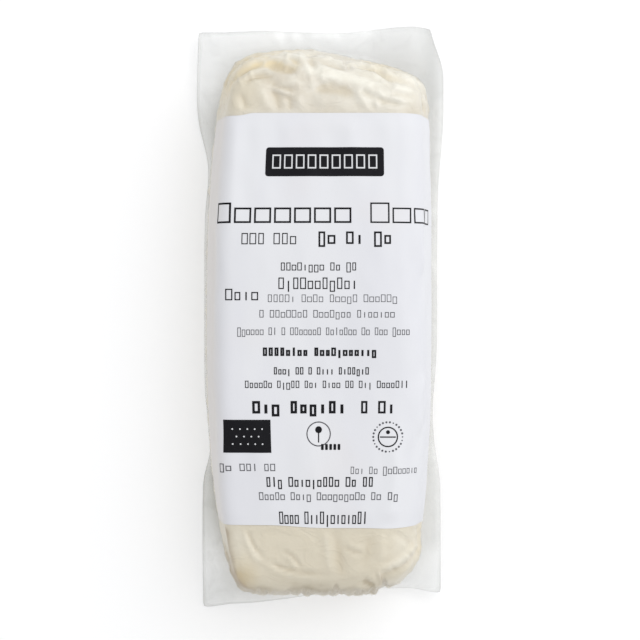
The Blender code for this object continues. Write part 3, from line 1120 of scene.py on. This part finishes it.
@dataclass
class TofuBlock:
    """The block of bean curd inside the film."""

    form: BlockForm
    wrinkles: Wrinkles
    cut: CoreCut = CoreCut()
    under_film: float = 0.3
    base_height: float = 0.6
    base_rings: int = 5

    def build(self, placer: Placer, material: bpy.types.Material) -> bpy.types.Object:
        """Model the block and store the tones that its finish reads.

        Args:
            placer: Puts the mesh on the frame.
            material: The finish.

        Returns:
            The piece.
        """
        names = ("valley_shade", "straw_and_shade", "warm", "stain_and_shade", "foot_edge_shade", "painted_highlight")
        loft = RingLoft(self.form, self.cut, names)
        loft.add_base(loft.add_body(), self.base_height, self.base_rings)
        loft.close()
        spots, flat = loft.spots, np.vstack(loft.flats)
        relief = self.wrinkles.relief(spots, flat, np.concatenate(loft.walks))
        lift = relief * smooth(2, 9, spots[:, 2])
        lift -= self.under_film * (0.2 + 0.8 * self.wrinkles.bare(flat))
        spots = spots + loft.normals * lift[:, None]
        spots[:, 2] = np.maximum(spots[:, 2], self.base_height)
        loft.move(spots)
        for name, values in self.tones(spots, relief).items():
            loft.tone(name, values)
        return placer.piece(loft.mesh, "tofu", material, 180)

    def tones(self, spots: Array, relief: Array) -> dict[str, Array]:
        """Where the block is straw, yellow or brown, and where painted shade and painted highlights go.

        Args:
            spots: Places on the block.
            relief: How far each stands out of the smooth surface.

        Returns:
            Numbers from 0 to 1 for each name that the finish reads.
        """
        x, y, up = spots.T
        high = smooth(20, 33, up)

        # yellow of the walls, deeper in fold valleys than on ridges as painted shade, and a yellow patch on
        # top of the foot's left corner
        turned = smooth(48.2, 43, up)
        at_corner = zone(x, y, (-22, -34), (-90, -102))
        warm = turned * zone(x, y, (0, -14), (86, 95)) * (0.45 + 0.55 * smooth(0.6, -0.2, relief))
        warm += turned * (0.7 * smooth(90, 95, y) * bell(x, 27, 9) + 0.15 * smooth(38, 42, x))
        warm += 0.35 * zone(x, y, (34, 40), (-80, -90)) + 0.9 * at_corner * smooth(51.5, 48.5, up)
        warm += 0.22 * smooth(30, 12, up)

        # brown on the foot's left corner and its crease, partly browner skin and partly painted shade, and a
        # thin brown strip on the foot
        corner = at_corner * (smooth(47.5, 42, up) + smooth(51.2, 48, up) * 0.3)
        crease = 1.4 * bell(up, 46.5, 1.6) * zone(x, y, (-33, -35), (-82, -86))
        strip = 0.5 * bell(x, 24.6, 1) * smooth(-101, -104.5, y)

        # painted shade along the foot edge, in a patch by its middle, and in its gathers
        wave = 1.8 * noise_field(np.column_stack((x, 0 * x)), 6, 12)
        foot_edge_shade = 0.8 * smooth(-106.8, -109.6, y + wave) + 0.35 * bell(x, 0, 6) * smooth(-104.8, -107.4, y)
        foot_edge_shade += zone(relief, y, (-0.05, -0.5), (-102.5, -106.5))

        # painted highlights: a band, the apex, the sides and shoulders, and fold crests at both ends
        band = bell(y, 101.2 - 0.2 * (x + 6), 2.2) * smooth(-12, -3, x) * smooth(26, 12, x)
        apex = 0.8 * bell(x, -8, 9) * bell(y, 109, 3.5)
        sides = bell(x, -34, 5) + bell(x, 34, 7)
        sides *= 0.3 * smooth(-80, -88, y) * smooth(-103, -98, y)
        shoulder = 0.45 * zone(x, y, (24, 36), (82, 90))
        shoulder += 0.4 * bell(x, 24, 8) * bell(y, 98, 5) + 0.5 * bell(x, 22, 9) * bell(y, 90, 4.5)
        shoulder += 0.4 * bell(y, 105 - 0.1 * x, 3) * smooth(-4, 4, x) * smooth(26, 14, x)
        ends = smooth(84, 92, y) * (0.22 + 0.18 * smooth(-28, -20, x))
        ends += 0.25 * smooth(-84, -90, y)
        painted_highlight = band + apex + sides + shoulder + ends * smooth(0.15, 0.8, relief)

        # straw over the foot and the head's left side, partly painted shade where less light falls
        straw_and_shade = 0.9 * (smooth(-60, -90, y) + zone(x, y, (-16, -30), (80, 86)))
        return {
            # fold valleys, darkened towards the shade colour as painted shade
            "valley_shade": smooth(0.05, -0.9, relief),
            "straw_and_shade": np.clip(straw_and_shade, 0, 1),
            "painted_highlight": np.clip(painted_highlight, 0, 1) * high,
            "warm": np.clip(warm, 0, 1),
            "stain_and_shade": np.clip(corner * smooth(12, 25, up) + (crease + strip) * high, 0, 1),
            "foot_edge_shade": np.clip(foot_edge_shade, 0, 1) * smooth(21, 36, up),
        }


@dataclass
class FilmPack:
    """The clear film: a skin over the block, and a thin rim of two welded films."""

    form: BlockForm
    wrinkles: Wrinkles
    cut: CoreCut = CoreCut()
    rim_thickness: float = 0.3
    rim_rings: int = 20
    under_rings: int = 8
    base_rings: int = 6
    edge_band: float = 0.03
    tucked: float = 0.03
    rim_reach: float = 12

    def build(self, material: bpy.types.Material, bag_box: tuple) -> tuple[bpy.types.Object, Placer]:
        """Model the film and find how it sits on the frame.

        Args:
            material: The finish.
            bag_box: Lowest and highest corners of the bag's solid, in metres.

        Returns:
            The piece, and the placer that the other pieces use.
        """
        loft = RingLoft(self.form, self.cut, ("edge", "rim", "haze_and_shade", "warm_shadow"))
        reach = self.grow(loft)
        loft.close()
        spots, flat, ring_of = loft.spots, np.vstack(loft.flats), np.concatenate(loft.rings)
        relief = self.wrinkles.relief(spots, flat, np.concatenate(loft.walks))
        root_ring = self.form.cut.rings
        relief *= smooth(root_ring + 3, root_ring - 6, ring_of)
        moved = spots + loft.normals * relief[:, None]
        moved[:, 2] = np.maximum(moved[:, 2] + self.flutter(spots) * reach, 0)
        loft.move(moved)
        self.paint(loft, moved, reach)
        own = (moved.min(axis=0) + moved.max(axis=0)) / 2
        goal = (Vector(bag_box[0]) + Vector(bag_box[1])) / (2 * MM)
        placer = Placer(Vector((goal.x - own[0], goal.y - own[1], 0)))
        return placer.piece(loft.mesh, "clear_film", material, 60), placer

    def grow(self, loft: RingLoft) -> Array:
        """Grow the skin, the rim's upper and lower films, and the base.

        Args:
            loft: The loft, which has only its core yet.

        Returns:
            How far out on the rim each vertex lies, from 0 at the wall to 1 at the cut edge.
        """
        form, stations = self.form, loft.stations
        root = loft.add_body()
        square = np.full(stations.count, form.rim_squareness)
        outer = form.outwards(stations.base, stations.way, lambda wall: wall.rim, square)
        rim = np.column_stack(form.rim_plan(*outer))
        wall_flat = loft.flats[-1]
        reach = [np.zeros(len(loft.vertices))]
        under_shares = np.linspace(1, self.tucked, self.under_rings)
        for is_upper, shares in ((True, self.upper_shares()), (False, under_shares)):
            for share in shares:
                spots = self.rim_spots(root, rim, share)
                if is_upper:
                    level = spots[:, 2] + self.rim_thickness
                    spots[:, 2] = level + (root[:, 2] - level) * (1 - min(share * 3, 1)) ** 2
                loft.add_ring(spots, wall_flat + stations.way * share * self.rim_reach)
                reach.append(np.full(stations.count, share))
        loft.add_base(self.rim_spots(root, rim, self.tucked), 0, self.base_rings)
        reach.append(np.zeros(stations.count * self.base_rings))
        return np.concatenate(reach)

    def paint(self, loft: RingLoft, spots: Array, reach: Array) -> None:
        """Store the tones that the film's finish reads.

        Args:
            loft: The finished loft.
            spots: Places of its vertices.
            reach: How far out on the rim each lies.
        """
        x, y, _ = spots.T
        ring_of = np.concatenate(loft.rings)
        root_ring = self.form.cut.rings
        edge_ring = root_ring + self.rim_rings
        under_end = edge_ring + self.under_rings
        plain = 0.4 + 0.6 * np.maximum(smooth(-10, -40, x), smooth(-95, -108, y))
        warm_shadow = self.warm_shadow(spots)
        slack = (1 - 0.5 * warm_shadow) * (1 - 0.5 * smooth(20, 40, x))
        on_rim = smooth(root_ring - 2, root_ring + 4, ring_of) * smooth(under_end + 3, under_end, ring_of)
        loft.tone("rim", on_rim)
        loft.tone("edge", np.isin(ring_of, (edge_ring, edge_ring + 1)) * plain)
        # grey of loose film, plus painted shade that deepens next to the block's walls
        loft.tone("haze_and_shade", self.haze_and_shade(spots) + 0.8 * smooth(0.5, 0.05, reach) * slack)
        # the block's warm shadow, painted on the rim near the block
        loft.tone("warm_shadow", warm_shadow * smooth(0, 0.05, reach) * (0.7 + 0.3 * smooth(0.8, 0.2, reach)))

    def upper_shares(self) -> list[float]:
        """How far out each ring of the rim's upper film lies; the last two bound the cut edge."""
        inner = self.rim_rings - 1
        found = [(step / inner) ** 1.6 * (1 - self.edge_band) for step in range(1, inner + 1)]
        return found + [1]

    def rim_spots(self, root: Array, rim: Array, share: float) -> Array:
        """Places on the rim's underside, part of the way from the wall to the edge."""
        plan = root[:, :2] * (1 - share) + rim * share
        return np.column_stack((plan, self.form.rim_level(plan[:, 0], plan[:, 1])))

    def haze_and_shade(self, spots: Array) -> Array:
        """How grey the rim's two films look together, from 0: more where they stand loose, and as painted
        shade next to the block's head and right wall.
        """
        x, y, _ = spots.T
        head = 0.1 * smooth(88, 112, y) + 0.5 * zone(x, y, (10, 45), (86, 100))
        head -= 0.12 * zone(x, y, (-20, -40), (86, 100))
        head += 0.8 * bell(y, 116.5 - 0.2 * np.abs(x + 9), 4.5) * bell(x, 2, 18)
        foot = 0.2 * zone(x, y, (30, 48), (-84, -100))
        foot -= 0.24 * zone(x, y, (-20, -44), (-60, -88))
        beside = (0.9 * bell(x, 47, 3.5) + 0.3 * smooth(40, 50, x)) * smooth(-102, -90, y)
        return np.clip(0.27 + head + foot + beside, 0, 2.4)

    def warm_shadow(self, spots: Array) -> Array:
        """How much painted warm shadow of the block the left side of the rim holds, from 0 to 1."""
        x, y, _ = spots.T
        along = 0.5 * smooth(104, 80, y) + 0.35 * smooth(-50, -64, y)
        along -= 0.45 * smooth(-74, -106, y) + 0.25 * bell(y, -104, 9)
        return smooth(0, -30, x) * along

    def flutter(self, spots: Array) -> Array:
        """Small ripples of the rim, as heights to add at its edge."""
        plan = spots[:, :2]
        ripple = 0.55 * noise_field(plan, 11, 5, octaves=2) + 0.3 * noise_field(plan, 5, 6)
        return np.maximum(ripple, -0.55)


# ---------- the label


@dataclass
class PaperLabel:
    """The label: a sheet that follows the block, with soft creases of its own."""

    form: BlockForm
    length: float = 166.5
    left_reach: float = 63.5
    right_reach: float = 69
    thickness: float = 0.13
    gap: float = 0.05
    corner: float = 0.8
    cells: tuple[int, int] = (138, 170)
    softening: float = 0.06
    crease_gain: float = 1.9
    probe: float = 0.15

    def lift(self, u: Array, v: Array) -> Array:
        """Height of the paper's underside above the block's surface.

        Args:
            u, v: Flat places across and along the label.

        Returns:
            Heights in millimetres.
        """
        flat = np.column_stack((u, v))
        height = 0.4 + 0.38 * noise_field(flat / (1, 1.8), 12, 8, octaves=2)
        height += self.crease_gain * sum(fold.relief(flat) for fold in LABEL_FOLDS)
        to_sides = np.minimum(self.right_reach - u, self.left_reach + u)
        inside = np.minimum(self.length / 2 - np.abs(v), to_sides)
        clear = (height + np.sqrt(height**2 + self.softening)) / 2
        return self.gap + clear * smooth(0, 7, inside)

    def place(self, u: Array, v: Array, w: Array) -> Array:
        """Map flat label coordinates onto the pack.

        Args:
            u, v: Flat places across and along the label.
            w: Heights above the paper's underside.

        Returns:
            Places on the pack.
        """
        step = self.probe
        across = self.form.front(u + step, v) - self.form.front(u - step, v)
        along = self.form.front(u, v + step) - self.form.front(u, v - step)
        normal = np.cross(across, along)
        normal /= np.linalg.norm(normal, axis=1)[:, None]
        return self.form.front(u, v) + normal * (self.lift(u, v) + w)[:, None]

    def wrap(self, mesh: Mesh) -> None:
        """Move a flat mesh, drawn in label coordinates, onto the pack."""
        vertices = list(mesh.verts)
        flat = np.array([v.co for v in vertices])
        for vertex, spot in zip(vertices, self.place(*flat.T)):
            vertex.co = spot

    def trim(self, u: float, v: float) -> float:
        """How far to shift a place of the sheet along it, to cut its two ends out of square."""
        foot_cut = 1.15 * smooth(2, -24, u) - 0.3 * bell(u, 31, 7)
        head_cut = 0.35 + 1 * smooth(-29, -36, u)
        return float(foot_cut * smooth(-76, -83.25, v) - head_cut * smooth(76, 83.25, v))

    def build(self, placer: Placer, material: bpy.types.Material) -> bpy.types.Object:
        """Cut the sheet, round its corners, give it its thickness and wrap it."""
        mesh = bmesh.new()
        mesh.verts.layers.float.new("flank_shade")
        half = self.length / 2
        lay_sheet(mesh, (-self.left_reach, self.right_reach), (-half, half), self.cells, self.corner, 5)
        thicken(mesh, self.thickness)
        layer = mesh.verts.layers.float["flank_shade"]
        # mark the left flank's painted shade, and cut the ends
        for vertex in mesh.verts:
            vertex[layer] = float(smooth(-37, -47, vertex.co.x + 1.6 * bell(vertex.co.y, 8, 32)))
            vertex.co.y += self.trim(vertex.co.x, vertex.co.y)
        self.wrap(mesh)
        return placer.piece(mesh, "label_sheet", material, 50)


@dataclass(frozen=True)
class WordLine:
    """A line of greeked print: one small open box or post in place of each letter."""

    left: float
    right: float
    base: float
    size: float
    words: tuple[int, ...]
    stroke: float = 0.28
    ink: Ink = Ink.BLACK


WORD_LINES = tuple(WordLine(*sizes) for sizes in (
    (-32, -9.2, 30.3, 4.5, (3, 3), 0.38),
    (-1.2, 29, 30.4, 5, (2, 2, 2), 0.72),
    (-16, 14.8, 19.8, 3.2, (8, 2, 2), 0.34),
    (-17, 15.2, 12.4, 4.6, (11,), 0.42),
    (-38.2, -24.4, 7.9, 4.6, (4,), 0.46),
    (-21.2, 31, 7.2, 3, (5, 4, 5, 6), 0.25, Ink.GREY),
    (-24.5, 30, 1, 3, (1, 7, 7, 7), 0.28, Ink.GREY),
    (-33.3, 36, -6, 3, (6, 2, 1, 7, 7, 2, 3, 4), 0.26, Ink.GREY),
    (-23.2, 22.8, -14.4, 3.4, (8, 11), 0.72),
    (-18.8, 19.8, -21.8, 2.9, (4, 2, 1, 4, 7), 0.38),
    (-30.4, 35.8, -27.2, 2.9, (6, 5, 3, 4, 2, 3, 7), 0.32),
    (-27.8, 10.8, -37.4, 5, (3, 6), 1.02),
    (16, 30.6, -37.4, 5, (1, 2), 0.8),
    (-41.4, -18.6, -60.4, 2.9, (2, 3, 2), 0.34, Ink.GREY),
    (12.4, 41.6, -61.6, 2.9, (3, 2, 8), 0.26, Ink.GREY),
    (-23.2, 22.4, -66.7, 3.9, (3, 9, 2, 2), 0.48),
    (-26.6, 32.6, -72, 3.1, (5, 4, 9, 2, 2), 0.34, Ink.GREY),
    (-18.4, 20.4, -81.6, 5, (4, 12), 0.46),
))


@dataclass
class LabelPrint:
    """Generic print on the label: blocks, bars and plain round marks."""

    label: PaperLabel
    seed: int = 5
    ink_height: float = 0.05
    clearance: float = 0.015
    cell: float = 1.2
    fine_cell: float = 0.7
    flat_reach: float = 30
    ring_sides: int = 40
    inks: dict[Ink, Mesh] = field(default_factory=lambda: {ink: bmesh.new() for ink in Ink})

    def stamp(self, ink: Ink, part: Mesh) -> None:
        """Give a flat shape the ink's thickness and add it to an ink."""
        bmesh.ops.recalc_face_normals(part, faces=part.faces)
        thicken(part, self.ink_height)
        data = bpy.data.meshes.new("print_part")
        part.to_mesh(data)
        part.free()
        self.inks[ink].from_mesh(data)
        bpy.data.meshes.remove(data)

    def bar(self, ink: Ink, x: Spot, y: Spot, corner: float = 0) -> None:
        """Add a flat bar; it is cut finer where it bends over a long edge of the block.

        Args:
            ink: The ink to add it to.
            x, y: Its left and right edges, and its lower and upper ones.
            corner: Radius of its corners.
        """
        part = bmesh.new()
        level = self.ink_height if ink is Ink.LIGHT else 0
        cell = self.cell if max(map(abs, x)) <= self.flat_reach else self.fine_cell
        cells = (max(1, round((x[1] - x[0]) / cell)), max(1, round((y[1] - y[0]) / self.cell)))
        lay_sheet(part, x, y, cells, corner, level=level)
        self.stamp(ink, part)

    def ring(self, ink: Ink, centre: Spot, radius: float, stroke: float) -> None:
        """Add a plain ring.

        Args:
            ink: The ink to add it to.
            centre: Its centre.
            radius: Its outer radius.
            stroke: Width of its line.
        """
        part = bmesh.new()
        spot = Matrix.Translation((*centre, 0))
        bmesh.ops.create_circle(part, radius=radius, segments=self.ring_sides, matrix=spot)
        grown = bmesh.ops.extrude_edge_only(part, edges=part.edges[:])["geom"]
        inner = [item for item in grown if isinstance(item, bmesh.types.BMVert)]
        share = (radius - stroke) / radius
        bmesh.ops.scale(part, verts=inner, vec=(share, share, 1), space=spot.inverted())
        self.stamp(ink, part)

    def disc(self, ink: Ink, centre: Spot, radius: float, sides: int = 20) -> None:
        """Add a plain disc, on top of the dark field if its ink is the bare paper."""
        part = bmesh.new()
        top = self.ink_height if ink is Ink.LIGHT else 0
        spot = Matrix.Translation((*centre, top))
        bmesh.ops.create_circle(part, cap_ends=True, radius=radius, segments=sides, matrix=spot)
        self.stamp(ink, part)

    def open_box(self, ink: Ink, x: Spot, y: Spot, stroke: float) -> None:
        """Add a box drawn as a thin line round an empty field.

        Args:
            ink: The ink to add it to.
            x, y: Its left and right edges, and its lower and upper ones.
            stroke: Width of its line.
        """
        for low in (y[0], y[1] - stroke):
            self.bar(ink, (x[0] + stroke, x[1] - stroke), (low, low + stroke))
        for left in (x[0], x[1] - stroke):
            self.bar(ink, (left, left + stroke), y)

    def word_line(self, line: WordLine, dice: random.Random) -> None:
        """Set one line of small boxes and posts.

        Args:
            line: The line's place and words.
            dice: Chooses their heights and widths.
        """
        cells = sum(line.words) + 0.9 * (len(line.words) - 1)
        pitch = (line.right - line.left) / cells
        x = line.left
        for word in line.words:
            for place in range(word):
                roll = dice.random()
                top = line.size if place == 0 or roll > 0.74 else line.size * 0.72
                edges = (line.base - (0.24 * line.size if roll < 0.1 else 0), line.base + top)
                width = pitch * dice.uniform(0.66, 0.82)
                start = x + (pitch - width) / 2
                if place and dice.random() < 0.25:
                    middle = x + pitch / 2
                    self.bar(line.ink, (middle - 0.6 * line.stroke, middle + 0.6 * line.stroke), edges)
                else:
                    self.open_box(line.ink, (start, start + width), edges, line.stroke)
                x += pitch
            x += 0.9 * pitch

    def headline(self) -> None:
        """Set the headline as two rows of thin open boxes of one height."""
        for left, right, count, stroke in ((-43.6, 13.2, 7, 0.75), (19.6, 55.2, 4, 0.6)):
            pitch = (right - left) / count
            for place in range(count):
                start = left + place * pitch
                top = 45 if place else 47
                self.open_box(Ink.BLACK, (start + 0.6, start + pitch - 0.6), (38.8, top), stroke)

    def marks(self) -> None:
        """Set the bar at the label's head and the three plain marks near its foot."""
        self.bar(Ink.BLACK, (-22.8, 25.9), (57.5, 69.1), corner=1.9)
        for count in range(9):
            start = -20 + 4.95 * count
            self.open_box(Ink.LIGHT, (start, start + 3.6), (60.6, 66.2), 0.54)
        self.bar(Ink.BLACK, (-39.2, -20.2), (-53.1, -39.9))
        for row, y in enumerate((-43.6, -46.6, -49.6)):
            for count in range(5 - row % 2):
                self.disc(Ink.LIGHT, (-35.7 + 3 * count + 1.5 * (row % 2), y), 0.34, sides=8)
        self.ring(Ink.GREY, (-0.6, -45.6), 5, 0.44)
        self.disc(Ink.BLACK, (-0.6, -43.9), 1.4)
        self.bar(Ink.BLACK, (-0.85, -0.35), (-49, -45.2))
        for count in range(5):
            self.bar(Ink.BLACK, (0.4 + 1.7 * count, 1.5 + 1.7 * count), (-52, -49.6), 0.3)
        self.ring(Ink.BLACK, (27.6, -46.8), 4.1, 0.52)
        self.bar(Ink.BLACK, (24.4, 30.8), (-47.1, -46.6))
        self.disc(Ink.BLACK, (27.6, -44.9), 0.8)
        for count in range(26):
            angle = 2 * math.pi * count / 26
            spot = (27.6 + 5.9 * math.cos(angle), -46.8 + 5.9 * math.sin(angle))
            self.disc(Ink.GREY, spot, 0.46 if count % 5 else 0.3, sides=6)

    def build(self, placer: Placer) -> list[bpy.types.Object]:
        """Set all the print, wrap it with the label and make one piece of each ink."""
        dice = random.Random(self.seed)
        self.marks()
        self.headline()
        for line in WORD_LINES:
            self.word_line(line, dice)
        pieces = []
        for ink, mesh in self.inks.items():
            bmesh.ops.translate(mesh, verts=mesh.verts, vec=(0, 0, self.label.thickness + self.clearance))
            self.label.wrap(mesh)
            pieces.append(placer.piece(mesh, f"label_{ink.value.name}", ink.value.build(), 30))
        return pieces


# ---------- the studio


@dataclass
class Studio:
    """Pale floor, one soft light, even light all round, and a camera that looks straight down."""

    target: Vector
    top: float
    distance: float = 0.75
    field: float = 0.256
    sensor: float = 36
    floor_tones: tuple[Colour, Colour] = ((0.555, 0.56, 0.568), (0.545, 0.55, 0.558))
    floor_glow: float = 0.45
    floor_drop: float = 0.0001
    room_light: float = 0.78
    key_place: Colour = (0.56, 0.52, 0.95)
    key_size: float = 1
    key_watts: float = 6.9

    def floor(self) -> None:
        """Lay a pale floor just under the pack."""
        mesh = bmesh.new()
        lay_sheet(mesh, (-4, 4), (-4, 4), (8, 8), level=-self.floor_drop)
        data = bpy.data.meshes.new("floor")
        mesh.to_mesh(data)
        mesh.free()
        g = Graph("floor")
        colour = g.blend(g.noise(60, 2) * 0.3, *self.floor_tones)
        shader = g.principled(
            Base_Color=colour, Roughness=0.8, Specular_IOR_Level=0.1,
            Emission_Color=(1, 1, 1), Emission_Strength=self.floor_glow,
        )
        data.materials.append(g.finish(shader))
        add_thing("floor", data)

    def key(self) -> None:
        """Hang a square soft light that faces the pack."""
        data = bpy.data.lights.new("key", "AREA")
        data.shape = "SQUARE"
        data.size = self.key_size
        data.energy = self.key_watts
        thing = add_thing("key", data)
        thing.location = self.key_place
        thing.rotation_euler = (self.target - Vector(self.key_place)).to_track_quat("-Z", "Y").to_euler()

    def room(self) -> None:
        """Fill the room with even white light."""
        world = bpy.data.worlds.new("room")
        world.use_nodes = True
        back = world.node_tree.nodes["Background"]
        back.inputs["Color"].default_value = (1, 1, 1, 1)
        back.inputs["Strength"].default_value = self.room_light
        bpy.context.scene.world = world

    def camera(self) -> None:
        """Hang the camera over the pack, looking straight down."""
        data = bpy.data.cameras.new("camera")
        data.sensor_width = self.sensor
        data.lens = self.sensor * self.distance / self.field
        data.clip_start = 0.01
        thing = add_thing("camera", data)
        thing.location = (self.target.x, self.target.y, self.top + self.distance)
        bpy.context.scene.camera = thing

    def build(self) -> None:
        """Set up the floor, the lights and the camera."""
        self.floor()
        self.room()
        self.key()
        self.camera()
        view = bpy.context.scene.view_settings
        view.view_transform = "Standard"
        view.look = "None"


# ---------- all together


def report(pieces: Iterable[bpy.types.Object]) -> None:
    """Log each piece's name and how many faces it has."""
    for piece in pieces:
        LOG.info("%s: %d faces", piece.name, len(piece.data.polygons))


def main() -> None:
    """Build the pack around the frame and light it."""
    logging.basicConfig(level=logging.INFO, format="%(name)s %(message)s")
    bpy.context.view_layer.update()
    bag_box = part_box("sealed_bag")
    wrinkles = Wrinkles()

    film, placer = FilmPack(FORM, wrinkles).build(FilmFinish().build(), bag_box)
    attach(film, "root")
    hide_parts("sealed_bag")

    tofu = TofuBlock(FORM, wrinkles).build(placer, TofuFinish().build())
    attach(tofu, "root")

    label = PaperLabel(FORM)
    sheet = label.build(placer, PaperFinish().build())
    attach(sheet, "root")
    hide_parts("label")

    prints = LabelPrint(label).build(placer)
    for piece in prints:
        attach(piece, "root")
    report([film, tofu, sheet, *prints])

    Studio(placer.shift * MM, bag_box[1][2]).build()


if __name__ == "__main__":
    main()
